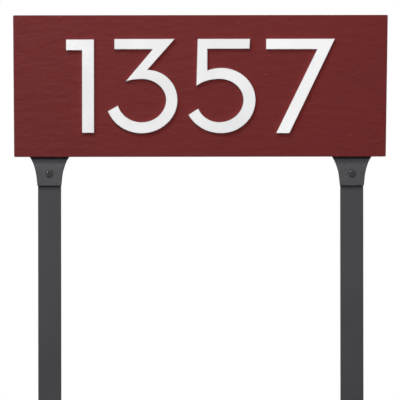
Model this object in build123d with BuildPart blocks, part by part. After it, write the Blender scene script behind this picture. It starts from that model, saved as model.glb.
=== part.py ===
from build123d import *
import os
from math import acos, cos, degrees, radians, tan

# Lawn plaque: a cast plate with four separate numerals, carried by a bracket on each of two stakes.
#
# X runs to the right as the plaque is read, Y towards its back and Z up. The origin is at ground level,
# midway between the stakes and in the middle of their thickness. A "depth" below is a distance from
# that middle plane towards the reader, so it grows along -Y. Lengths are in millimetres.

# Plate
plate_top_width = 402.0
plate_left_foot_inset = 1.0
plate_right_foot_inset = 2.4
plate_height = 152.0
plate_thickness = 6.4
plate_corner_radius = 1.2
plate_front_round = 0.8
plate_back_round = 0.5
plate_above_ground = 165.0

# Numerals: what they share
numeral_height = 101.0
numeral_thickness = 4.8
numeral_edge_chamfer = 0.4
bowl_middle = 35.6
counter_top = 58.1
counter_bottom = 11.8

# Gaps between the numerals, which sit a little below the plate's middle
gap_one_three = 14.9
gap_three_five = 11.9
gap_five_seven = 11.5
number_drop = 0.3

# Numeral one, cast slightly shorter than the others
one_height = 100.0
one_width = 29.9
one_stem = 12.8
one_flag_height = 11.5

# Numeral three: a flat top, a diagonal down to a notch, and a bowl
three_width = 74.5
three_bar_height = 11.0
three_bar_inset = 6.9
three_bar_reach = 71.6
three_diagonal_inner = 48.1
three_notch_x = 42.3
three_notch_height = 67.9
three_middle_x = 36.1
three_bowl_stroke = 12.3
three_cusp_span = 37.3
three_cusp_angle = 117.0
three_outer_end_angle = 199.6
three_inner_end_angle = 194.4

# Numeral five: a flag, a tapering stem and a bowl
five_width = 71.7
five_bar_height = 10.6
five_bar_reach = 66.0
five_bar_setback = 0.7
five_stem_left = 9.8
five_stem_right = 20.2
five_bowl_top = 70.0
five_bowl_stroke = 13.0
five_outer_x = 34.9
five_inner_x = 32.8
five_cusp_span = 32.8
five_cusp_angle = 138.2
five_outer_end_angle = 206.6
five_outer_span = 39.2
five_inner_end_angle = 202.9
five_inner_span = 24.3

# Numeral seven
seven_width = 73.6
seven_foot_x = 10.7
seven_foot = 14.1
seven_bar_height = 11.1
seven_inner_x = 54.8

# Studs that hold the numerals
stud_radius = 2.0
stud_cover = 1.4
stud_end_gap = 0.3
stud_tail = 1.6
stud_foot_height = 14.0
stud_bar_inset = 11.0
stud_hole_clearance = 0.25
stud_end_chamfer = 0.4

# Washers and nuts on the studs and on the stake screws
washer_radius = 4.5
washer_thickness = 0.8
nut_across_flats = 7.0
nut_height = 3.2
nut_chamfer = 0.45

# Stakes
stake_inset = 38.5
stake_width = 24.8
stake_thickness = 4.8
stake_length = 457.0
stake_point_length = 38.0
stake_tip_width = 3.0
stake_edge_round = 0.6
stake_top_gap = 0.4

# Screw through each bracket and stake
stake_screw_radius = 2.0
stake_screw_head_radius = 4.0
stake_screw_head_height = 3.0
stake_screw_drop = 17.6
stake_screw_tail = 1.8

# Brackets
web_thickness = 4.8
web_drop = 31.0
web_side_margin = 0.5
web_taper_angle = 5.7
web_corner_radius = 0.8
flare_drop = 22.6
flare_radius = 62.0
flare_angle = 19.1
flare_top_radius = 33.0
slope_rise = 5.0
slope_drop = 12.0
slope_root_radius = 6.0
slope_crown_radius = 25.0
tab_width = 48.0
tab_rise = 34.0
tab_thickness = 4.8
tab_corner_radius = 7.0
tab_shoulder_radius = 3.0
socket_clearance = 0.25
socket_ledge_drop = 4.0
socket_lip = 0.6
hood_shoulder = 5.0
hood_top = 10.0
hood_radius = 3.0
cheek_front_drop = 15.0
cheek_back_drop = 12.0
cheek_radius = 1.5
bracket_front_round = 0.8
bracket_back_round = 0.5
section_overrun = 1.0

# Bosses on the plate's back, and the screws that hold the brackets to them
boss_radius = 7.0
boss_height = 3.0
boss_base_chamfer = 0.8
boss_spread = 30.0
boss_rise = 20.0
bracket_screw_radius = 2.5
bracket_screw_head_radius = 4.75
bracket_screw_head_height = 3.6
bracket_screw_bite = 3.2
bracket_screw_end_gap = 0.6
bracket_washer_radius = 5.5
bracket_washer_thickness = 1.0

# Clearances and small forms that all the screws share
thread_clearance = 0.05
screw_hole_clearance = 0.25
washer_hole_clearance = 0.15
screw_end_chamfer = 0.5
recess_length = 4.6
recess_width = 1.2
recess_depth = 1.7

# Depths of the layers, from the stakes forwards
stake_back = -stake_thickness / 2
stake_front = stake_thickness / 2
web_front = stake_front + web_thickness
plate_back = web_front
plate_front = plate_back + plate_thickness
tab_front = plate_back - boss_height
tab_back = tab_front - tab_thickness

# Places across, from the plate's middle
stake_x = plate_top_width / 2 - stake_inset
number_width = one_width + three_width + five_width + seven_width
number_width += gap_one_three + gap_three_five + gap_five_seven
one_left = -number_width / 2
three_left = one_left + one_width + gap_one_three
five_left = three_left + three_width + gap_three_five
seven_left = five_left + five_width + gap_five_seven

# Heights, and the places of what repeats
plate_bottom = plate_above_ground
plate_middle = plate_bottom + plate_height / 2
number_middle = plate_middle - number_drop
stake_top = plate_bottom - socket_ledge_drop - stake_top_gap
stake_tip = stake_top - stake_length
stake_screw_height = plate_bottom - stake_screw_drop
boss_height_above_ground = plate_bottom + boss_rise
side_places = {"left": -stake_x, "right": stake_x}
boss_offsets = [-boss_spread / 2, boss_spread / 2]


def front_plane(x, z, depth):
    """A plane that faces the reader: X to the right and Y up, at the given depth."""
    return Plane(origin=(x, -depth, z), x_dir=(1, 0, 0), z_dir=(0, -1, 0))


def side_plane(x, z):
    """A plane seen from the side: X forwards and Y up."""
    return Plane(origin=(x, 0, z), x_dir=(0, -1, 0), z_dir=(-1, 0, 0))


def save(piece, name):
    """Label a finished piece and write it."""
    piece.label = name
    export_step(piece, f"parts/{name}.step")


def outline_one():
    """Numeral one: a stem with a flag."""
    with BuildSketch() as outline:
        with BuildLine():
            Polyline(
                (0, one_height),
                (one_width, one_height),
                (one_width, 0),
                (one_width - one_stem, 0),
                (one_width - one_stem, one_height - one_flag_height),
                (0, one_height - one_flag_height),
                close=True,
            )
        make_face()
    return outline.sketch


def outline_three():
    """Numeral three: bar, diagonal and notch, then the bowl's outside and back along its inside."""
    middle = (three_middle_x, bowl_middle)
    notch_centre = (three_notch_x, bowl_middle)
    notch_span = three_width - three_notch_x
    notch_rise = three_notch_height - bowl_middle
    outer_span = three_width - three_middle_x
    inner_span = outer_span - three_bowl_stroke
    inner_rise = counter_top - bowl_middle
    inner_drop = bowl_middle - counter_bottom
    outer_sweep = 360 - three_outer_end_angle
    inner_sweep = 360 - three_inner_end_angle
    cusp_sweep = three_cusp_angle - 90
    with BuildSketch() as outline:
        with BuildLine():
            top = Polyline(
                (three_diagonal_inner, numeral_height - three_bar_height),
                (three_bar_inset, numeral_height - three_bar_height),
                (three_bar_inset, numeral_height),
                (three_bar_reach, numeral_height),
                (three_notch_x, three_notch_height),
            )
            EllipticalCenterArc(notch_centre, notch_span, notch_rise, 90, arc_size=-90)
            belly = EllipticalCenterArc(middle, outer_span, bowl_middle, 0, arc_size=-outer_sweep)
            inner_belly = EllipticalCenterArc(middle, inner_span, inner_drop, 0, arc_size=-inner_sweep)
            Line(belly @ 1, inner_belly @ 1)
            EllipticalCenterArc(middle, inner_span, inner_rise, 0, arc_size=90)
            cusp = EllipticalCenterArc(middle, three_cusp_span, inner_rise, 90, arc_size=cusp_sweep)
            Line(cusp @ 1, top @ 0)
        make_face()
    return outline.sketch


def outline_five():
    """Numeral five: flag and stem, then the bowl's outside and back along its inside."""
    outer = (five_outer_x, bowl_middle)
    inner = (five_inner_x, bowl_middle)
    outer_span = five_width - five_outer_x
    inner_span = five_width - five_bowl_stroke - five_inner_x
    outer_rise = five_bowl_top - bowl_middle
    inner_rise = counter_top - bowl_middle
    inner_drop = bowl_middle - counter_bottom
    start_angle = degrees(acos((five_stem_right - five_outer_x) / outer_span))
    outer_sweep = 270 - five_outer_end_angle
    inner_sweep = 270 - five_inner_end_angle
    cusp_sweep = five_cusp_angle - 90
    with BuildSketch() as outline:
        with BuildLine():
            shoulder = EllipticalCenterArc(outer, outer_span, outer_rise, start_angle, arc_size=-start_angle)
            EllipticalCenterArc(outer, outer_span, bowl_middle, 0, arc_size=-90)
            belly = EllipticalCenterArc(outer, five_outer_span, bowl_middle, 270, arc_size=-outer_sweep)
            inner_belly = EllipticalCenterArc(inner, five_inner_span, inner_drop, 270, arc_size=-inner_sweep)
            Line(belly @ 1, inner_belly @ 1)
            EllipticalCenterArc(inner, inner_span, inner_drop, 270, arc_size=90)
            EllipticalCenterArc(inner, inner_span, inner_rise, 0, arc_size=90)
            cusp = EllipticalCenterArc(inner, five_cusp_span, inner_rise, 90, arc_size=cusp_sweep)
            Polyline(
                cusp @ 1,
                (five_stem_left, numeral_height),
                (five_bar_reach, numeral_height),
                (five_bar_reach - five_bar_setback, numeral_height - five_bar_height),
                (five_stem_right, numeral_height - five_bar_height),
                shoulder @ 0,
            )
        make_face()
    return outline.sketch


def outline_seven():
    """Numeral seven: a bar and a slanting stem."""
    with BuildSketch() as outline:
        with BuildLine():
            Polyline(
                (0, numeral_height),
                (seven_width, numeral_height),
                (seven_foot_x + seven_foot, 0),
                (seven_foot_x, 0),
                (seven_inner_x, numeral_height - seven_bar_height),
                (0, numeral_height - seven_bar_height),
                close=True,
            )
        make_face()
    return outline.sketch


# Each numeral: its left edge, its height, its outline, and its studs as places within it
one_stem_middle = one_width - one_stem / 2
seven_lean = (seven_width - seven_foot_x - seven_foot) / numeral_height
numerals = {
    "one": (
        one_left,
        one_height,
        outline_one,
        {
            "top": (one_stem_middle, one_height - one_flag_height / 2),
            "foot": (one_stem_middle, stud_foot_height),
        },
    ),
    "three": (
        three_left,
        numeral_height,
        outline_three,
        {
            "top": (three_bar_inset + stud_bar_inset, numeral_height - three_bar_height / 2),
            "side": (three_width - three_bowl_stroke / 2, bowl_middle),
            "foot": (three_middle_x, counter_bottom / 2),
        },
    ),
    "five": (
        five_left,
        numeral_height,
        outline_five,
        {
            "top": ((five_stem_left + five_stem_right) / 2, numeral_height - five_bar_height / 2),
            "side": (five_width - five_bowl_stroke / 2, bowl_middle),
            "foot": (five_inner_x, counter_bottom / 2),
        },
    ),
    "seven": (
        seven_left,
        numeral_height,
        outline_seven,
        {
            "top": (stud_bar_inset, numeral_height - seven_bar_height / 2),
            "foot": (seven_foot_x + seven_foot / 2 + stud_foot_height * seven_lean, stud_foot_height),
        },
    ),
}
stud_places = {
    f"{name}_{place}": (left + x, number_middle - height / 2 + y)
    for name, (left, height, outline, studs) in numerals.items()
    for place, (x, y) in studs.items()
}
boss_places = {
    f"{side}_{'outer' if offset * side_x > 0 else 'inner'}": (side_x + offset, boss_height_above_ground)
    for side, side_x in side_places.items()
    for offset in boss_offsets
}


def make_plate():
    """The plate, with clearance holes for the studs and bosses with blind tapped holes at its back."""
    half = plate_top_width / 2
    with BuildPart() as plate:
        with BuildSketch(front_plane(0, plate_bottom, plate_back)):
            with BuildLine():
                Polyline(
                    (-half, plate_height),
                    (half, plate_height),
                    (half - plate_right_foot_inset, 0),
                    (-half + plate_left_foot_inset, 0),
                    close=True,
                )
            make_face()
        extrude(amount=plate_thickness)
        fillet(plate.edges().filter_by(Axis.Y), plate_corner_radius)
        fillet(plate.faces().sort_by(Axis.Y)[0].edges(), plate_front_round)
        fillet(plate.faces().sort_by(Axis.Y)[-1].edges(), plate_back_round)

        with BuildSketch(front_plane(0, 0, plate_back)):
            with Locations(*boss_places.values()):
                Circle(boss_radius)
        extrude(amount=-boss_height)
        rims = plate.edges().filter_by(GeomType.CIRCLE).filter_by(lambda rim: rim.radius == boss_radius)
        chamfer(rims.group_by(Axis.Y)[0], boss_base_chamfer)

        with BuildSketch(front_plane(0, 0, tab_front)):
            with Locations(*boss_places.values()):
                Circle(bracket_screw_radius + thread_clearance)
        extrude(amount=boss_height + bracket_screw_bite + bracket_screw_end_gap, mode=Mode.SUBTRACT)
        with BuildSketch(front_plane(0, 0, plate_back)):
            with Locations(*stud_places.values()):
                Circle(stud_radius + stud_hole_clearance)
        extrude(amount=plate_thickness, mode=Mode.SUBTRACT)
    return plate.part


def make_numeral(left, height, outline, studs):
    """One numeral, with chamfered front edges and blind tapped holes for its studs."""
    corner = front_plane(left, number_middle - height / 2, plate_front)
    with BuildPart() as numeral:
        with BuildSketch(corner):
            add(outline())
        extrude(amount=numeral_thickness)
        chamfer(numeral.faces().sort_by(Axis.Y)[0].edges(), numeral_edge_chamfer)
        with BuildSketch(corner):
            with Locations(*studs.values()):
                Circle(stud_radius + thread_clearance)
        extrude(amount=numeral_thickness - stud_cover, mode=Mode.SUBTRACT)
    return numeral.part


def make_stud(x, z):
    """A stud, from near the bottom of its hole in a numeral to just past its nut, chamfered there."""
    front = plate_front + numeral_thickness - stud_cover - stud_end_gap
    back = plate_back - washer_thickness - nut_height - stud_tail
    with BuildPart() as stud:
        with BuildSketch(front_plane(x, z, back)):
            Circle(stud_radius)
        extrude(amount=front - back)
        chamfer(stud.edges().filter_by(GeomType.CIRCLE).sort_by(Axis.Y)[-1], stud_end_chamfer)
    return stud.part


def make_washer(x, z, depth, outer_radius, inner_radius, thickness):
    """A flat washer whose front face is at the given depth."""
    with BuildPart() as washer:
        with BuildSketch(front_plane(x, z, depth)):
            Circle(outer_radius)
            Circle(inner_radius, mode=Mode.SUBTRACT)
        extrude(amount=-thickness)
    return washer.part


def make_nut(x, z, depth, thread_radius):
    """A hexagon nut whose flat front face is at the given depth, with its back corners chamfered."""
    seat = front_plane(x, z, depth)
    corner_radius = nut_across_flats / 2 / cos(radians(30))
    with BuildPart() as nut:
        with BuildSketch(seat):
            Circle(corner_radius)
        extrude(amount=-nut_height)
        chamfer(nut.edges().filter_by(GeomType.CIRCLE).sort_by(Axis.Y)[-1], nut_chamfer)
        with BuildSketch(seat):
            RegularPolygon(nut_across_flats / 2, 6, major_radius=False)
            Circle(thread_radius + thread_clearance, mode=Mode.SUBTRACT)
        extrude(amount=-nut_height, mode=Mode.INTERSECT)
    return nut.part


def make_screw(x, z, depth, way, radius, head_radius, head_height, length):
    """A pan head screw with a cross recess. Its shank runs to the back if way is 1, forwards if -1."""
    rim_height = head_height / 2
    with BuildPart() as screw:
        with BuildSketch(Plane(origin=(x, -depth, z), x_dir=(1, 0, 0), z_dir=(0, 0, way))):
            with BuildLine():
                crown = TangentArc((0, -head_height), (head_radius, -rim_height), tangent=(1, 0))
                Polyline(
                    crown @ 1,
                    (head_radius, 0),
                    (radius, 0),
                    (radius, length - screw_end_chamfer),
                    (radius - screw_end_chamfer, length),
                    (0, length),
                    crown @ 0,
                )
            make_face()
        revolve(axis=Axis((x, -depth, z), (0, 1, 0)))
        head_top = Plane(origin=(x, -depth - way * head_height, z), x_dir=(1, 0, 0), z_dir=(0, -way, 0))
        with BuildSketch(head_top):
            with PolarLocations(0, 2, angular_range=180):
                Rectangle(recess_length, recess_width)
        extrude(amount=-recess_depth, mode=Mode.SUBTRACT)
    return screw.part


def make_stake(x):
    """A flat bar with a point at its foot and a hole for its screw."""
    half = stake_width / 2
    half_tip = stake_tip_width / 2
    with BuildPart() as stake:
        with BuildSketch(front_plane(x, stake_tip, stake_back)):
            with BuildLine():
                Polyline(
                    (-half_tip, 0),
                    (half_tip, 0),
                    (half, stake_point_length),
                    (half, stake_length),
                    (-half, stake_length),
                    (-half, stake_point_length),
                    close=True,
                )
            make_face()
        extrude(amount=stake_thickness)
        fillet(stake.edges().filter_by(Axis.Z), stake_edge_round)
        with BuildSketch(front_plane(x, stake_screw_height, stake_back)):
            Circle(stake_screw_radius + screw_hole_clearance)
        extrude(amount=stake_thickness, mode=Mode.SUBTRACT)
    return stake.part


def make_bracket(x):
    """A casting: a tab behind the plate, a flared web in front of the stake, and a socket for its top."""
    foot_half = stake_width / 2 + web_side_margin
    flare_half = foot_half + (web_drop - flare_drop) * tan(radians(web_taper_angle))
    flare_spread = flare_radius * (cos(radians(web_taper_angle)) - cos(radians(flare_angle)))
    flare_rest = tab_width / 2 - flare_half - flare_spread
    flare_top_angle = degrees(acos(cos(radians(flare_angle)) - flare_rest / flare_top_radius))
    socket_half = stake_width / 2 + socket_clearance
    socket_back = stake_back - socket_lip
    above = tab_rise + section_overrun
    below = -web_drop - section_overrun

    with BuildPart() as bracket:
        # The outline, a taper that runs on into a flare, tighter at its top, and then into the tab
        with BuildSketch(front_plane(x, plate_bottom, socket_back)) as outline:
            with BuildLine():
                foot = Line((0, -web_drop), (foot_half, -web_drop))
                taper = Line(foot @ 1, (flare_half, -flare_drop))
                flare = JernArc(taper @ 1, taper % 1, flare_radius, arc_size=web_taper_angle - flare_angle)
                flare_top = JernArc(
                    flare @ 1, flare % 1, flare_top_radius, arc_size=flare_angle - flare_top_angle
                )
                Polyline(flare_top @ 1, (tab_width / 2, tab_rise), (0, tab_rise))
                mirror(about=Plane.YZ)
            make_face()
            across = outline.vertices().group_by(Axis.X)
            shoulders = (across[0] + across[-1]).group_by(Axis.Y)[0]
            fillet(shoulders, tab_shoulder_radius)
            fillet(outline.vertices().group_by(Axis.Y)[-1], tab_corner_radius)
            fillet(outline.vertices().group_by(Axis.Y)[0], web_corner_radius)
        extrude(amount=web_front - socket_back)

        # The section, through the tab, the sloping front, the web, the cheeks and the hood
        with BuildSketch(side_plane(x, plate_bottom)):
            with BuildLine():
                front = FilletPolyline(
                    (tab_front, above),
                    (tab_front, slope_rise),
                    (web_front, -slope_drop),
                    (web_front, below),
                    radius=[slope_root_radius, slope_crown_radius],
                )
                back = FilletPolyline(
                    (stake_front, below),
                    (stake_front, -cheek_front_drop),
                    (socket_back, -cheek_back_drop),
                    (socket_back, hood_shoulder),
                    (tab_back, hood_top),
                    (tab_back, above),
                    radius=[cheek_radius, cheek_radius, hood_radius, hood_radius],
                )
                Line(front @ 1, back @ 0)
                Line(back @ 1, front @ 0)
            make_face()
        extrude(amount=tab_width / 2 + section_overrun, both=True, mode=Mode.INTERSECT)

        # Rounds that run from the tab's edges down the whole front, and then down the whole back
        for side, edge_round in ((0, bracket_front_round), (-1, bracket_back_round)):
            tab_faces = bracket.faces().filter_by(Axis.Y).sort_by(Axis.Z)[-2:]
            fillet(tab_faces.sort_by(Axis.Y)[side].edges(), edge_round)

        # The socket, open at the back and below
        with BuildSketch(front_plane(x, plate_bottom, socket_back)):
            with Locations((0, -socket_ledge_drop)):
                Rectangle(2 * socket_half, web_drop - socket_ledge_drop, align=(Align.CENTER, Align.MAX))
        extrude(amount=stake_front - socket_back, mode=Mode.SUBTRACT)

        with BuildSketch(front_plane(x, stake_screw_height, stake_front)):
            Circle(stake_screw_radius + screw_hole_clearance)
        extrude(amount=web_thickness, mode=Mode.SUBTRACT)
        with BuildSketch(front_plane(x, boss_height_above_ground, tab_back)):
            with Locations(*[(offset, 0) for offset in boss_offsets]):
                Circle(bracket_screw_radius + screw_hole_clearance)
        extrude(amount=tab_thickness, mode=Mode.SUBTRACT)
    return bracket.part


os.makedirs("parts", exist_ok=True)

save(make_plate(), "plate")

for name, (left, height, outline, studs) in numerals.items():
    save(make_numeral(left, height, outline, studs), f"numeral_{name}")

for name, (x, z) in stud_places.items():
    save(make_stud(x, z), f"stud_{name}")
    washer = make_washer(
        x, z, plate_back, washer_radius, stud_radius + washer_hole_clearance, washer_thickness
    )
    save(washer, f"washer_{name}")
    save(make_nut(x, z, plate_back - washer_thickness, stud_radius), f"nut_{name}")

for side, x in side_places.items():
    save(make_bracket(x), f"bracket_{side}")
    save(make_stake(x), f"stake_{side}")
    stake_screw_length = web_front - stake_back + washer_thickness + nut_height + stake_screw_tail
    stake_screw = make_screw(
        x,
        stake_screw_height,
        web_front,
        1,
        stake_screw_radius,
        stake_screw_head_radius,
        stake_screw_head_height,
        stake_screw_length,
    )
    save(stake_screw, f"stake_screw_{side}")
    stake_washer = make_washer(
        x,
        stake_screw_height,
        stake_back,
        washer_radius,
        stake_screw_radius + washer_hole_clearance,
        washer_thickness,
    )
    save(stake_washer, f"stake_washer_{side}")
    stake_nut = make_nut(x, stake_screw_height, stake_back - washer_thickness, stake_screw_radius)
    save(stake_nut, f"stake_nut_{side}")

bracket_screw_length = bracket_washer_thickness + tab_thickness + boss_height + bracket_screw_bite
for name, (x, z) in boss_places.items():
    bracket_washer = make_washer(
        x,
        z,
        tab_back,
        bracket_washer_radius,
        bracket_screw_radius + washer_hole_clearance,
        bracket_washer_thickness,
    )
    save(bracket_washer, f"bracket_washer_{name}")
    bracket_screw = make_screw(
        x,
        z,
        tab_back - bracket_washer_thickness,
        -1,
        bracket_screw_radius,
        bracket_screw_head_radius,
        bracket_screw_head_height,
        bracket_screw_length,
    )
    save(bracket_screw, f"bracket_screw_{name}")
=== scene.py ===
import math
import bmesh
import bpy
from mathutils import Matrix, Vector


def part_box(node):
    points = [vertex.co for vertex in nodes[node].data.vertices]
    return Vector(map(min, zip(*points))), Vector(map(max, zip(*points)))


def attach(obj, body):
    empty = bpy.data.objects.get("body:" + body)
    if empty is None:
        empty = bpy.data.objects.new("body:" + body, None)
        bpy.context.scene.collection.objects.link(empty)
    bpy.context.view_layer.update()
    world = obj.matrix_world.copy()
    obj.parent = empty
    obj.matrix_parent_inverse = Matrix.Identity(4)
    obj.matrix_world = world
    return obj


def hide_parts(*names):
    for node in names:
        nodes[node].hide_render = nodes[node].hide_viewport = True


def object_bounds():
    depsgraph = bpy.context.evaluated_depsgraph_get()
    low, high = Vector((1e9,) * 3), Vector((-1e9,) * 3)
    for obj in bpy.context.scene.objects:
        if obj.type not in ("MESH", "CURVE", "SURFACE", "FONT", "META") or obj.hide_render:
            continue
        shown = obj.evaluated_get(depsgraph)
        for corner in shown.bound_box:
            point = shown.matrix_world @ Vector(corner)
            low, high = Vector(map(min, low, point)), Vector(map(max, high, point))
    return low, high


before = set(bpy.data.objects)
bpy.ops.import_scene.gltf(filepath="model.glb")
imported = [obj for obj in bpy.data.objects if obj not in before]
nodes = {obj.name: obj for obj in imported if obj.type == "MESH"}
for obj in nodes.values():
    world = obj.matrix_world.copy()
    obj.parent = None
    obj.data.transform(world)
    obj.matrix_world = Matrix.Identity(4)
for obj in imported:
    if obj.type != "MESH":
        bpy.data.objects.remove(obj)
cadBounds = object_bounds()
print("frame loaded:", len(nodes), "nodes")


# small helpers for working as by hand

startSize = 0.001  # metres, of the plane that becomes the first vertex of a profile
mergeDistance = 0.000001  # metres, for windings that meet
poleMergeDistance = 0.000002  # metres, for the poles of a spun profile
levelFace = 0.5  # a face is level where the z of its normal is beyond this
bevelSegments = 2


def deselectAll():
    if bpy.context.object and bpy.context.object.mode != "OBJECT":
        bpy.ops.object.mode_set(mode="OBJECT")
    bpy.ops.object.select_all(action="DESELECT")


def makeActive(piece):
    deselectAll()
    piece.select_set(True)
    bpy.context.view_layer.objects.active = piece


def editFaces(piece, test):
    # into edit mode with only the faces selected that pass the test
    makeActive(piece)
    bpy.ops.object.mode_set(mode="EDIT")
    bpy.ops.mesh.select_mode(type="FACE")
    bpy.ops.mesh.select_all(action="DESELECT")
    mesh = bmesh.from_edit_mesh(piece.data)
    for face in mesh.faces:
        face.select_set(test(face))
    bmesh.update_edit_mesh(piece.data)


def editAll(piece):
    editFaces(piece, lambda face: True)


def leaveEdit():
    bpy.ops.object.mode_set(mode="OBJECT")


def faceOutwards(piece):
    editAll(piece)
    bpy.ops.mesh.normals_make_consistent(inside=False)
    leaveEdit()


def applyModifier(piece, kind, **settings):
    makeActive(piece)
    modifier = piece.modifiers.new(kind.lower(), kind)
    for key, value in settings.items():
        setattr(modifier, key, value)
    bpy.ops.object.modifier_apply(modifier=modifier.name)


def cutWith(piece, cutter, operation):
    applyModifier(piece, "BOOLEAN", object=cutter, operation=operation, solver="EXACT")
    bpy.data.objects.remove(cutter, do_unlink=True)


def roundEdges(piece, width, angle):
    applyModifier(piece, "BEVEL", width=width, segments=bevelSegments, limit_method="ANGLE",
                  angle_limit=math.radians(angle))


def applyTransform():
    bpy.ops.object.transform_apply(location=True, rotation=True, scale=True)


def drawProfile(name, points):
    # a chain of vertices in the XZ plane, drawn by extruding one vertex again and again
    deselectAll()
    bpy.ops.mesh.primitive_plane_add(size=startSize, location=(0, 0, 0))
    piece = bpy.context.object
    piece.name = name
    bpy.ops.object.mode_set(mode="EDIT")
    bpy.ops.mesh.select_mode(type="VERT")
    bpy.ops.mesh.select_all(action="SELECT")
    bpy.ops.mesh.merge(type="CENTER")
    x, z = points[0]
    bpy.ops.transform.translate(value=(x, 0, z))
    for nextX, nextZ in points[1:]:
        bpy.ops.mesh.extrude_region_move(TRANSFORM_OT_translate={"value": (nextX - x, 0, nextZ - z)})
        x, z = nextX, nextZ
    leaveEdit()
    return piece


def spinProfile(piece, steps):
    # a full turn about Z
    makeActive(piece)
    bpy.ops.object.mode_set(mode="EDIT")
    bpy.ops.mesh.select_all(action="SELECT")
    bpy.ops.mesh.spin(steps=steps, angle=2 * math.pi, center=(0, 0, 0), axis=(0, 0, 1))
    bpy.ops.mesh.select_all(action="SELECT")
    bpy.ops.mesh.remove_doubles(threshold=poleMergeDistance)
    bpy.ops.mesh.normals_make_consistent(inside=False)
    leaveEdit()


def joinAll(pieces):
    deselectAll()
    for piece in pieces:
        piece.select_set(True)
    bpy.context.view_layer.objects.active = pieces[0]
    bpy.ops.object.join()
    return bpy.context.object


def placeCopy(model, name, place, way, turn):
    # models are drawn along +Z with their seat at the origin; way 1 turns +Z to the back, -1 to the front
    makeActive(model)
    bpy.ops.object.duplicate(linked=False)
    piece = bpy.context.object
    piece.name = name
    piece.data.name = name
    piece.rotation_euler = (-way * math.pi / 2, math.radians(turn), 0)
    piece.location = place
    applyTransform()
    return piece


def smoothShade(piece, angle):
    makeActive(piece)
    bpy.ops.object.shade_smooth_by_angle(angle=math.radians(angle))


# node groups that the finishes share

def newGroup(name, inputs, outputs):
    group = bpy.data.node_groups.new(name, "ShaderNodeTree")
    for label, kind, value in inputs:
        socket = group.interface.new_socket(name=label, in_out="INPUT", socket_type=kind)
        if value is not None:
            socket.default_value = value
    for label, kind in outputs:
        group.interface.new_socket(name=label, in_out="OUTPUT", socket_type=kind)
    start = group.nodes.new("NodeGroupInput")
    end = group.nodes.new("NodeGroupOutput")
    return group, start, end


def addNode(tree, kind, **settings):
    node = tree.nodes.new(kind)
    for key, value in settings.items():
        setattr(node, key, value)
    return node


def addMath(tree, operation, first, second, clamp=False):
    node = addNode(tree, "ShaderNodeMath", operation=operation, use_clamp=clamp)
    for socket, value in zip(node.inputs, (first, second)):
        if isinstance(value, (int, float)):
            socket.default_value = value
        else:
            tree.links.new(value, socket)
    return node.outputs[0]


def addRange(tree, value, fromRange, toRange=(0.0, 1.0), interpolation="SMOOTHSTEP"):
    node = addNode(tree, "ShaderNodeMapRange", interpolation_type=interpolation)
    node.inputs["From Min"].default_value, node.inputs["From Max"].default_value = fromRange
    node.inputs["To Min"].default_value, node.inputs["To Max"].default_value = toRange
    tree.links.new(value, node.inputs["Value"])
    return node.outputs[0]


def addStretch(tree, vector, scale):
    node = addNode(tree, "ShaderNodeMapping")
    tree.links.new(vector, node.inputs["Vector"])
    if isinstance(scale, tuple):
        node.inputs["Scale"].default_value = scale
    else:
        tree.links.new(scale, node.inputs["Scale"])
    return node.outputs[0]


def addNoise(tree, vector, scale, detail, roughness=0.5, distortion=0.0):
    node = addNode(tree, "ShaderNodeTexNoise")
    tree.links.new(vector, node.inputs["Vector"])
    node.inputs["Detail"].default_value = detail
    node.inputs["Roughness"].default_value = roughness
    node.inputs["Distortion"].default_value = distortion
    if isinstance(scale, (int, float)):
        node.inputs["Scale"].default_value = scale
    else:
        tree.links.new(scale, node.inputs["Scale"])
    return node.outputs["Fac"]


# noises are given as detail, roughness and distortion
skinShape = {"streakNoise": (1.0, 0.45, 0.5), "pebbleNoise": (2.0, 0.5), "pebbleShare": 0.14,
             "nibSquat": (0.7, 1.0, 1.2), "nibEdge": (0.2, 0.02), "nibShare": 0.7,
             "patchScale": 61.0, "patchNoise": (1.0,), "patchLevel": 0.6}


def makeCastSkin():
    # the skin of sand cast metal under a coat: drawn out streaks, pebbles between them and a few nibs
    group, start, end = newGroup(
        "castSkin",
        [("Vector", "NodeSocketVector", None), ("Stretch", "NodeSocketVector", (0.32, 1.0, 0.85)),
         ("Streak Scale", "NodeSocketFloat", 100.0), ("Pebble Scale", "NodeSocketFloat", 400.0),
         ("Nib Scale", "NodeSocketFloat", 90.0)],
        [("Height", "NodeSocketFloat"), ("Streaks", "NodeSocketFloat")])
    links = group.links
    vector = start.outputs["Vector"]
    drawnOut = addStretch(group, vector, start.outputs["Stretch"])
    streaks = addNoise(group, drawnOut, start.outputs["Streak Scale"], *skinShape["streakNoise"])
    pebbles = addNoise(group, vector, start.outputs["Pebble Scale"], *skinShape["pebbleNoise"])
    nibCells = addNode(group, "ShaderNodeTexVoronoi", feature="F1")
    links.new(addStretch(group, vector, skinShape["nibSquat"]), nibCells.inputs["Vector"])
    links.new(start.outputs["Nib Scale"], nibCells.inputs["Scale"])
    nibShape = addRange(group, nibCells.outputs["Distance"], skinShape["nibEdge"])
    patches = addNoise(group, vector, skinShape["patchScale"], *skinShape["patchNoise"])
    nibPick = addMath(group, "GREATER_THAN", patches, skinShape["patchLevel"])
    nibs = addMath(group, "MULTIPLY", nibShape, nibPick)
    height = addMath(group, "ADD", streaks, addMath(group, "MULTIPLY", pebbles, skinShape["pebbleShare"]))
    height = addMath(group, "ADD", height, addMath(group, "MULTIPLY", nibs, skinShape["nibShare"]))
    links.new(height, end.inputs["Height"])
    links.new(streaks, end.inputs["Streaks"])
    return group


driftShape = {"cloudNoise": (2.0, 0.5), "mottleNoise": (3.0, 0.6), "spread": (0.32, 0.68)}


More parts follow.
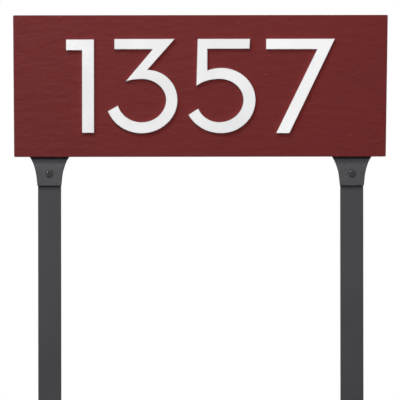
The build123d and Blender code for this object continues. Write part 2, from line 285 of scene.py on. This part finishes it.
def makeToneDrift():
    # slow, cloudy change between two tones, with fine mottling over it
    group, start, end = newGroup(
        "toneDrift",
        [("Vector", "NodeSocketVector", None), ("Light Tone", "NodeSocketColor", (0.5, 0.5, 0.5, 1)),
         ("Dark Tone", "NodeSocketColor", (0.4, 0.4, 0.4, 1)), ("Cloud Scale", "NodeSocketFloat", 9.0),
         ("Mottle Scale", "NodeSocketFloat", 240.0), ("Mottle Share", "NodeSocketFloat", 0.35)],
        [("Color", "NodeSocketColor"), ("Mask", "NodeSocketFloat")])
    links = group.links
    vector, share = start.outputs["Vector"], start.outputs["Mottle Share"]
    clouds = addNoise(group, vector, start.outputs["Cloud Scale"], *driftShape["cloudNoise"])
    mottle = addNoise(group, vector, start.outputs["Mottle Scale"], *driftShape["mottleNoise"])
    cloudPart = addMath(group, "MULTIPLY", clouds, addMath(group, "SUBTRACT", 1.0, share))
    mask = addMath(group, "ADD", addMath(group, "MULTIPLY", mottle, share), cloudPart, clamp=True)
    spread = addRange(group, mask, driftShape["spread"])
    mix = addNode(group, "ShaderNodeMix", data_type="RGBA")
    links.new(spread, mix.inputs["Factor"])
    links.new(start.outputs["Dark Tone"], mix.inputs["A"])
    links.new(start.outputs["Light Tone"], mix.inputs["B"])
    links.new(mix.outputs["Result"], end.inputs["Color"])
    links.new(spread, end.inputs["Mask"])
    return group


lineShape = {"stretch": (1.0, 1.0, 0.03), "noise": (3.0, 0.65)}


def makeFineLines():
    # hair lines of a brushed or rolled surface, drawn out along Z
    group, start, end = newGroup(
        "fineLines",
        [("Vector", "NodeSocketVector", None), ("Line Scale", "NodeSocketFloat", 900.0)],
        [("Height", "NodeSocketFloat")])
    drawnOut = addStretch(group, start.outputs["Vector"], lineShape["stretch"])
    lines = addNoise(group, drawnOut, start.outputs["Line Scale"], *lineShape["noise"])
    group.links.new(lines, end.inputs["Height"])
    return group


castSkin = makeCastSkin()
toneDrift = makeToneDrift()
fineLines = makeFineLines()
print("node groups ready")


# finishes: every dictionary holds its tones, the scales of its patterns (per metre), its gloss and its relief

def newMaterial(name, finish, metallic=0.0):
    material = bpy.data.materials.new(name)
    material.use_nodes = True
    tree = material.node_tree
    tree.nodes.clear()
    shader = addNode(tree, "ShaderNodeBsdfPrincipled")
    output = addNode(tree, "ShaderNodeOutputMaterial")
    tree.links.new(shader.outputs[0], output.inputs["Surface"])
    shader.inputs["Metallic"].default_value = metallic
    shader.inputs["Specular IOR Level"].default_value = finish["specular"]
    place = addNode(tree, "ShaderNodeTexCoord")
    return material, tree, shader, place.outputs["Object"]


def addGroup(tree, group, vector, **values):
    node = addNode(tree, "ShaderNodeGroup", node_tree=group)
    tree.links.new(vector, node.inputs["Vector"])
    for label, value in values.items():
        node.inputs[label].default_value = value
    return node


def addTone(tree, place, finish):
    return addGroup(tree, toneDrift, place, **{
        "Light Tone": finish["light"], "Dark Tone": finish["dark"], "Cloud Scale": finish["cloudScale"],
        "Mottle Scale": finish["mottleScale"], "Mottle Share": finish["mottleShare"]})


def addSkin(tree, place, finish):
    return addGroup(tree, castSkin, place, **{
        "Stretch": finish["stretch"], "Streak Scale": finish["streakScale"],
        "Pebble Scale": finish["pebbleScale"], "Nib Scale": finish["nibScale"]})


def addBump(tree, shader, height, finish):
    bump = addNode(tree, "ShaderNodeBump")
    bump.inputs["Strength"].default_value = finish["bumpStrength"]
    bump.inputs["Distance"].default_value = finish["bumpDepth"]
    tree.links.new(height, bump.inputs["Height"])
    tree.links.new(bump.outputs[0], shader.inputs["Normal"])


def varyRoughness(tree, shader, mask, finish):
    roughness = addRange(tree, mask, (0.0, 1.0), finish["roughness"], "LINEAR")
    tree.links.new(roughness, shader.inputs["Roughness"])


def makeCastCoat(name, finish):
    material, tree, shader, place = newMaterial(name, finish)
    skin = addSkin(tree, place, finish)
    tree.links.new(addTone(tree, place, finish).outputs["Color"], shader.inputs["Base Color"])
    varyRoughness(tree, shader, skin.outputs["Streaks"], finish)
    addBump(tree, shader, skin.outputs["Height"], finish)
    return material


def makeSmoothFinish(name, finish, metallic=0.0):
    # with hair lines where the finish names them
    material, tree, shader, place = newMaterial(name, finish, metallic)
    tone = addTone(tree, place, finish)
    tree.links.new(tone.outputs["Color"], shader.inputs["Base Color"])
    varyRoughness(tree, shader, tone.outputs["Mask"], finish)
    if "lineScale" in finish:
        lines = addGroup(tree, fineLines, place, **{"Line Scale": finish["lineScale"]})
        addBump(tree, shader, lines.outputs["Height"], finish)
    return material


redCoat = {"light": (0.1242, 0.0088, 0.0090, 1), "dark": (0.1122, 0.0074, 0.0076, 1),
           "cloudScale": 18.0, "mottleScale": 130.0, "mottleShare": 0.5,
           "stretch": (0.32, 1.0, 0.85), "streakScale": 165.0, "pebbleScale": 480.0, "nibScale": 95.0,
           "roughness": (0.46, 0.58), "specular": 0.25, "bumpStrength": 0.46, "bumpDepth": 0.00112}
redPowderCoat = makeCastCoat("redPowderCoat", redCoat)

blackCasting = {"light": (0.0805, 0.081, 0.0868, 1), "dark": (0.0725, 0.073, 0.0782, 1),
                "cloudScale": 40.0, "mottleScale": 500.0, "mottleShare": 0.4,
                "stretch": (0.8, 1.0, 0.95), "streakScale": 230.0, "pebbleScale": 520.0, "nibScale": 130.0,
                "roughness": (0.46, 0.58), "specular": 0.15, "bumpStrength": 0.5, "bumpDepth": 0.001}
blackCastCoat = makeCastCoat("blackCastCoat", blackCasting)

blackBar = {"light": (0.066, 0.0665, 0.071, 1), "dark": (0.059, 0.0595, 0.0635, 1),
            "cloudScale": 14.0, "mottleScale": 420.0, "mottleShare": 0.35, "lineScale": 600.0,
            "roughness": (0.42, 0.5), "specular": 0.15, "bumpStrength": 0.12, "bumpDepth": 0.0001}
blackBarCoat = makeSmoothFinish("blackBarCoat", blackBar)

blackScrew = {"light": (0.034, 0.034, 0.036, 1), "dark": (0.024, 0.024, 0.026, 1),
              "cloudScale": 300.0, "mottleScale": 1500.0, "mottleShare": 0.5,
              "roughness": (0.13, 0.2), "specular": 0.46}
blackScrewCoat = makeSmoothFinish("blackScrewCoat", blackScrew)

zinc = {"light": (0.6, 0.61, 0.63, 1), "dark": (0.47, 0.48, 0.49, 1),
        "cloudScale": 120.0, "mottleScale": 900.0, "mottleShare": 0.5,
        "roughness": (0.28, 0.42), "specular": 0.5}
zincPlate = makeSmoothFinish("zincPlate", zinc, metallic=1.0)

# dark is a share of light, and blue is a little above the other two colours
numeralSatin = {"tones": {"one": 0.772, "three": 0.759, "five": 0.777, "seven": 0.848},
                "darker": 0.965, "bluer": 1.004,
                "cloudScale": 22.0, "mottleScale": 700.0, "mottleShare": 0.45, "lineScale": 1400.0,
                "roughness": (0.3, 0.37), "specular": 0.5, "bumpStrength": 0.06, "bumpDepth": 0.00005}


def makeNumeralSatin(digit):
    # each numeral is given a brightness of its own, set numeral by numeral
    light = numeralSatin["tones"][digit]
    dark = light * numeralSatin["darker"]
    bluer = numeralSatin["bluer"]
    finish = dict(numeralSatin, light=(light, light, light * bluer, 1), dark=(dark, dark, dark * bluer, 1))
    return makeSmoothFinish("numeralSatin_" + digit, finish, metallic=1.0)


def dress(node, material):
    slots = nodes[node].data.materials
    if len(slots):
        for index in range(len(slots)):
            slots[index] = material
    else:
        slots.append(material)


dress("plate", redPowderCoat)
for digit in numeralSatin["tones"]:
    dress("numeral_" + digit, makeNumeralSatin(digit))
for node in nodes:
    if node in ("bracket_left", "bracket_right"):
        dress(node, blackCastCoat)
    elif node in ("stake_left", "stake_right"):
        dress(node, blackBarCoat)
    elif node.startswith("stake_screw"):
        dress(node, blackScrewCoat)
    elif "washer" in node or "nut" in node or node.startswith("stud") or node.startswith("bracket_screw"):
        dress(node, zincPlate)
print("finishes assigned")


# fasteners: each kind is modelled once, with its seat at the origin and its thread along +Z, then copied

# depth, flat and runOut are shares of the pitch
threadShape = {"depth": 0.6, "flat": 0.12, "runOut": 2.37, "steps": 20, "endChamfer": 0.00045,
               "spare": 0.0001, "envelopeSteps": 32}


def makeRod(name, size):
    # one pitch of the thread, wound up beyond both ends, closed, and cut to its length with a chamfered end
    radius, pitch, length = size["radius"], size["pitch"], size["length"]
    root = radius - threadShape["depth"] * pitch
    flat = threadShape["flat"] * pitch
    low = -threadShape["runOut"] * pitch
    rod = drawProfile(name, [(root, low), (root, low + flat), (radius, low + pitch / 2 - flat / 2),
                             (radius, low + pitch / 2 + flat / 2), (root, low + pitch)])
    turns = math.ceil(length / pitch + 2 * threadShape["runOut"])
    applyModifier(rod, "SCREW", angle=2 * math.pi, screw_offset=pitch, iterations=turns,
                  steps=threadShape["steps"], render_steps=threadShape["steps"])
    editAll(rod)
    bpy.ops.mesh.remove_doubles(threshold=mergeDistance)  # each winding joins the next
    leaveEdit()
    for height, above in ((-pitch, False), (length + pitch, True)):
        editAll(rod)
        # its usual threshold is too coarse for a thread of this size
        bpy.ops.mesh.bisect(plane_co=(0, 0, height), plane_no=(0, 0, 1), use_fill=True,
                            threshold=mergeDistance / 10, clear_inner=not above, clear_outer=above)
        leaveEdit()
    faceOutwards(rod)
    chamfer = threadShape["endChamfer"]
    wide = radius + threadShape["spare"]
    envelope = drawProfile("envelope", [(0, 0), (wide, 0), (wide, length - chamfer),
                                        (wide - chamfer, length), (0, length)])
    spinProfile(envelope, threadShape["envelopeSteps"])
    cutWith(rod, envelope, "INTERSECT")
    return rod


# crownShare is of the head's radius, crownDrop and rimShare are of its height; recessTaper narrows its foot
panHead = {"crownShare": 0.42, "crownDrop": 0.04, "rimShare": 0.28, "arcPoints": 9, "steps": 48,
           "edge": 0.0002, "bevel": 0.00007, "bevelAngle": 35, "recessTaper": (0.5, 0.72), "spare": 0.0006,
           "wellRadius": 0.0011, "wellFoot": 0.0003, "wellDepth": 0.0003, "wellSteps": 24}


def makeRecessBar(length, width, low, high):
    # a bar that narrows towards its upper face, for cutting a recess
    deselectAll()
    bpy.ops.mesh.primitive_cube_add(size=1, location=(0, 0, (low + high) / 2),
                                    scale=(length, width, high - low))
    applyTransform()
    bar = bpy.context.object
    editFaces(bar, lambda face: face.normal.z > levelFace)
    alongTaper, acrossTaper = panHead["recessTaper"]
    bpy.ops.transform.resize(value=(alongTaper, acrossTaper, 1))
    leaveEdit()
    return bar


def makePanScrew(name, size):
    # a head with a nearly flat crown, a round shoulder and a cross recess, and a thread under it
    radius, height = size["headRadius"], size["headHeight"]
    crown = radius * panHead["crownShare"]
    rim = height * panHead["rimShare"]
    rise = height * (1 - panHead["crownDrop"]) - rim
    points = [(0, -height)]
    for step in range(panHead["arcPoints"] + 1):
        angle = math.pi / 2 * step / panHead["arcPoints"]
        points.append((crown + (radius - crown) * math.sin(angle), -rim - rise * math.cos(angle)))
    points += [(radius, -panHead["edge"]), (radius - panHead["edge"], 0), (0, 0)]
    head = drawProfile(name, points)
    spinProfile(head, panHead["steps"])
    top = -height - panHead["spare"]
    foot = -height + size["recessDepth"]
    for turn in (0, 90):
        bar = makeRecessBar(size["recessLength"], size["recessWidth"], top, foot)
        bar.rotation_euler = (0, 0, math.radians(turn))
        applyTransform()
        cutWith(head, bar, "DIFFERENCE")
    wellFloor = foot + panHead["wellDepth"]
    well = drawProfile("well", [(0, top), (panHead["wellRadius"], top), (panHead["wellRadius"], -height),
                                (panHead["wellFoot"], wellFloor), (0, wellFloor)])
    spinProfile(well, panHead["wellSteps"])
    cutWith(head, well, "DIFFERENCE")
    roundEdges(head, panHead["bevel"], panHead["bevelAngle"])
    return joinAll([head, makeRod(name + "Rod", size)])


hexNut = {"flats": 0.007, "height": 0.0032, "threadRadius": 0.002, "boreGap": 0.00005,
          "chamferShare": 0.94, "chamferAngle": 30, "spare": 0.0002, "countersink": 0.0003,
          "drillSpare": 0.0005, "drillSteps": 32, "bevel": 0.00006, "bevelAngle": 25,
          "discSteps": 50}  # with 50 steps no point of the disc falls on a corner


def makeNut(name):
    # a hexagon with its corners taken off by a flat double cone, and a bore sunk at both ends
    height, spare = hexNut["height"], hexNut["spare"]
    halfSide = math.radians(30)  # half of the angle that one side of a hexagon takes up
    corner = hexNut["flats"] / 2 / math.cos(halfSide)
    deselectAll()
    bpy.ops.mesh.primitive_cylinder_add(vertices=6, radius=corner, depth=height, location=(0, 0, height / 2))
    nut = bpy.context.object
    nut.name = name
    applyTransform()
    flatRadius = hexNut["flats"] / 2 * hexNut["chamferShare"]
    slope = math.tan(math.radians(hexNut["chamferAngle"]))
    wide = corner + spare
    narrow = flatRadius - spare / slope
    drop = (wide - flatRadius) * slope
    disc = drawProfile("disc", [(0, -spare), (narrow, -spare), (wide, drop), (wide, height - drop),
                                (narrow, height + spare), (0, height + spare)])
    spinProfile(disc, hexNut["discSteps"])
    cutWith(nut, disc, "INTERSECT")
    sink, beyond = hexNut["countersink"], hexNut["drillSpare"]
    bore = hexNut["threadRadius"] + hexNut["boreGap"]
    drill = drawProfile("drill", [(0, -beyond), (bore + sink + beyond, -beyond), (bore, sink),
                                  (bore, height - sink), (bore + sink + beyond, height + beyond),
                                  (0, height + beyond)])
    spinProfile(drill, hexNut["drillSteps"])
    cutWith(nut, drill, "DIFFERENCE")
    roundEdges(nut, hexNut["bevel"], hexNut["bevelAngle"])
    return nut


flatWasher = {"segments": 40, "bevel": 0.00012, "bevelAngle": 35}


def makeWasher(name, size):
    # a disc with both faces inset and bridged through, and its rims rounded
    deselectAll()
    bpy.ops.mesh.primitive_cylinder_add(vertices=flatWasher["segments"], radius=size["outer"],
                                        depth=size["thickness"], location=(0, 0, size["thickness"] / 2))
    washer = bpy.context.object
    washer.name = name
    applyTransform()
    editFaces(washer, lambda face: abs(face.normal.z) > levelFace)
    bpy.ops.mesh.inset(thickness=size["outer"] - size["inner"], depth=0)
    bpy.ops.mesh.bridge_edge_loops()
    leaveEdit()
    faceOutwards(washer)
    roundEdges(washer, flatWasher["bevel"], flatWasher["bevelAngle"])
    return washer


stakeScrewSize = {"radius": 0.00198, "pitch": 0.0007, "length": 0.0154, "headRadius": 0.00385,
                  "headHeight": 0.0027, "recessLength": 0.0044, "recessWidth": 0.0011, "recessDepth": 0.0016}
stakeScrew = makePanScrew("stakeScrew", stakeScrewSize)

bracketScrewSize = {"radius": 0.00248, "pitch": 0.0008, "length": 0.012, "headRadius": 0.00475,
                    "headHeight": 0.0036, "recessLength": 0.005, "recessWidth": 0.0013, "recessDepth": 0.0019}
bracketScrew = makePanScrew("bracketScrew", bracketScrewSize)

studSize = {"radius": 0.00198, "pitch": 0.0007, "length": 0.0151}
studRod = makeRod("studRod", studSize)

smallNut = makeNut("smallNut")

smallWasherSize = {"outer": 0.0045, "inner": 0.00215, "thickness": 0.0008}
smallWasher = makeWasher("smallWasher", smallWasherSize)

bracketWasherSize = {"outer": 0.0055, "inner": 0.00265, "thickness": 0.001}
bracketWasher = makeWasher("bracketWasher", bracketWasherSize)
print("fasteners modelled")

# start of the names, model, way of its thread, length behind its seat, slot and finish
fastenerKinds = [
    ("stud_", studRod, 1, studSize["length"], "zinc_steel", zincPlate),
    ("washer_", smallWasher, 1, smallWasherSize["thickness"], "zinc_steel", zincPlate),
    ("nut_", smallNut, 1, hexNut["height"], "zinc_steel", zincPlate),
    ("stake_screw_", stakeScrew, 1, stakeScrewSize["length"], "black_coat", blackScrewCoat),
    ("stake_washer_", smallWasher, 1, smallWasherSize["thickness"], "zinc_steel", zincPlate),
    ("stake_nut_", smallNut, 1, hexNut["height"], "zinc_steel", zincPlate),
    ("bracket_screw_", bracketScrew, -1, bracketScrewSize["length"], "zinc_steel", zincPlate),
    ("bracket_washer_", bracketWasher, -1, bracketWasherSize["thickness"], "zinc_steel", zincPlate),
]
# degrees; the screws in front have turns of their own, and the others come one after the other
placing = {"ownTurns": {"stake_screw_left": 40.0, "stake_screw_right": -35.0},
           "firstTurn": 11.0, "turnStep": 47.0, "smoothAngle": 32}
nextTurn = placing["firstTurn"]
for prefix, model, way, length, slotName, finish in fastenerKinds:
    smoothShade(model, placing["smoothAngle"])
    for node in sorted(nodes):
        if node.startswith(prefix):
            low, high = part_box(node)
            seatY = high[1] - length if way == 1 else low[1] + length
            place = ((low[0] + high[0]) / 2, seatY, (low[2] + high[2]) / 2)
            turn = placing["ownTurns"].get(node, nextTurn)
            nextTurn = (nextTurn + placing["turnStep"]) % 360.0
            piece = placeCopy(model, node + "_modelled", place, way, turn)
            piece.data.materials.clear()
            piece.data.materials.append(finish)
            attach(piece, "root")
            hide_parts(node)
for model in (stakeScrew, bracketScrew, studRod, smallNut, smallWasher, bracketWasher):
    bpy.data.objects.remove(model, do_unlink=True)
print("fasteners placed")


# camera: straight on from far away, with the slight roll of the photograph

cameraSetup = {"distance": 4.0, "aimX": -0.0007, "aimZ": 0.11864, "frameWidth": 0.4289, "faceY": -0.0136,
               "roll": 0.0012, "sensor": 36.0}  # metres, radians, and millimetres for the sensor
cameraData = bpy.data.cameras.new("camera")
cameraData.sensor_width = cameraSetup["sensor"]
cameraData.lens = cameraSetup["sensor"] * cameraSetup["distance"] / cameraSetup["frameWidth"]
camera = bpy.data.objects.new("camera", cameraData)
camera.location = (cameraSetup["aimX"], cameraSetup["faceY"] - cameraSetup["distance"], cameraSetup["aimZ"])
camera.rotation_euler = (math.pi / 2, cameraSetup["roll"], 0)
bpy.context.scene.collection.objects.link(camera)
bpy.context.scene.camera = camera
print("camera set")


# light: places and sizes in metres, powers in watts; the ground passes into the sky over domeRange

lightSetup = {
    "aim": (0, 0, 0.2),
    "keyPlace": (-0.54, -1.38, 1.52), "keySize": (0.504, 0.36), "keyPower": 16.2,
    "fillPlace": (-0.02, -0.95, 0.48), "fillSize": (0.9, 0.22), "fillPower": 5.5,
    "hazePlace": (-1.7, -1.7, 1.3), "hazeSize": (1.0, 1.0), "hazePower": 42.0,
    "backPlace": (0.5, 1.5, 1.2), "backSize": (1.4, 1.0), "backPower": 27.0,
    "groundForObject": 0.01, "skyForObject": 0.2, "domeRange": (-0.6, 0.6),
}


def addLamp(name):
    data = bpy.data.lights.new(name + "Lamp", "AREA")
    data.shape = "RECTANGLE"
    data.size, data.size_y = lightSetup[name + "Size"]
    data.energy = lightSetup[name + "Power"]
    lamp = bpy.data.objects.new(name + "Lamp", data)
    place = Vector(lightSetup[name + "Place"])
    lamp.location = place
    lamp.rotation_euler = (Vector(lightSetup["aim"]) - place).to_track_quat("-Z", "Y").to_euler()
    lamp.visible_camera = False
    bpy.context.scene.collection.objects.link(lamp)
    return lamp


def seenDirectly(tree):
    # 1 for camera, glossy and transmission rays
    path = addNode(tree, "ShaderNodeLightPath")
    either = addMath(tree, "MAXIMUM", path.outputs["Is Camera Ray"], path.outputs["Is Glossy Ray"])
    return addMath(tree, "MAXIMUM", either, path.outputs["Is Transmission Ray"])


def addWhite(tree):
    node = addNode(tree, "ShaderNodeBackground")
    node.inputs["Color"].default_value = (1, 1, 1, 1)
    node.inputs["Strength"].default_value = 1.0
    return node


addLamp("key")
fillLamp = addLamp("fill")
fillLamp.visible_glossy = False  # it stands near the camera and would mirror in the numerals
hazeLamp = addLamp("haze")
hazeLamp.visible_diffuse = False  # it lays only a pale sheen over the coats, from the upper left
addLamp("back")

# the world is white where it is seen, and lights the object softly, more from above than from below
world = bpy.data.worlds.new("studio")
bpy.context.scene.world = world
world.use_nodes = True
tree = world.node_tree
tree.nodes.clear()
heading = addNode(tree, "ShaderNodeTexCoord")
height = addNode(tree, "ShaderNodeSeparateXYZ")
tree.links.new(heading.outputs["Generated"], height.inputs[0])
dome = addRange(tree, height.outputs["Z"], lightSetup["domeRange"],
                (lightSetup["groundForObject"], lightSetup["skyForObject"]))
ambient = addWhite(tree)
tree.links.new(dome, ambient.inputs["Strength"])
backdrop = addWhite(tree)
mix = addNode(tree, "ShaderNodeMixShader")
output = addNode(tree, "ShaderNodeOutputWorld")
tree.links.new(seenDirectly(tree), mix.inputs[0])
tree.links.new(ambient.outputs[0], mix.inputs[1])
tree.links.new(backdrop.outputs[0], mix.inputs[2])
tree.links.new(mix.outputs[0], output.inputs["Surface"])
print("light set")


# floor: pale, under the stakes' points, fading into the white background

floorSetup = {"radius": 1.35, "sides": 96, "drop": 0.0006, "fadeStart": 0.35,  # a share of the radius
              "light": (0.9, 0.9, 0.9, 1), "dark": (0.885, 0.885, 0.885, 1),
              "bounceTone": (0.15, 0.15, 0.15, 1), "roughness": 0.7, "specular": 0.2,
              "cloudScale": 4.0, "mottleScale": 60.0, "mottleShare": 0.3}
deselectAll()
bpy.ops.mesh.primitive_circle_add(vertices=floorSetup["sides"], radius=floorSetup["radius"],
                                  fill_type="NGON", location=(0, 0, cadBounds[0].z - floorSetup["drop"]))
floor = bpy.context.object
floor.name = "floor"
applyTransform()
material, tree, shader, place = newMaterial("paleFloor", floorSetup)
shader.inputs["Roughness"].default_value = floorSetup["roughness"]
tone = addTone(tree, place, floorSetup)
dim = addNode(tree, "ShaderNodeMix", data_type="RGBA")  # darker where it only throws light back
dim.inputs["A"].default_value = floorSetup["bounceTone"]
tree.links.new(seenDirectly(tree), dim.inputs["Factor"])
tree.links.new(tone.outputs["Color"], dim.inputs["B"])
tree.links.new(dim.outputs["Result"], shader.inputs["Base Color"])
flat = addNode(tree, "ShaderNodeVectorMath", operation="MULTIPLY")  # so that the fade goes by plan distance
flat.inputs[1].default_value = (1, 1, 0)
tree.links.new(place, flat.inputs[0])
around = addNode(tree, "ShaderNodeVectorMath", operation="LENGTH")
tree.links.new(flat.outputs[0], around.inputs[0])
fade = addRange(tree, around.outputs["Value"],
                (floorSetup["radius"], floorSetup["radius"] * floorSetup["fadeStart"]))
clear = addNode(tree, "ShaderNodeBsdfTransparent")
mix = addNode(tree, "ShaderNodeMixShader")
tree.links.new(fade, mix.inputs[0])
tree.links.new(clear.outputs[0], mix.inputs[1])
tree.links.new(shader.outputs[0], mix.inputs[2])
floorOutput = next(node for node in tree.nodes if node.type == "OUTPUT_MATERIAL")
tree.links.new(mix.outputs[0], floorOutput.inputs["Surface"])
floor.data.materials.append(material)
print("floor laid")

bpy.context.scene.view_settings.view_transform = "Standard"
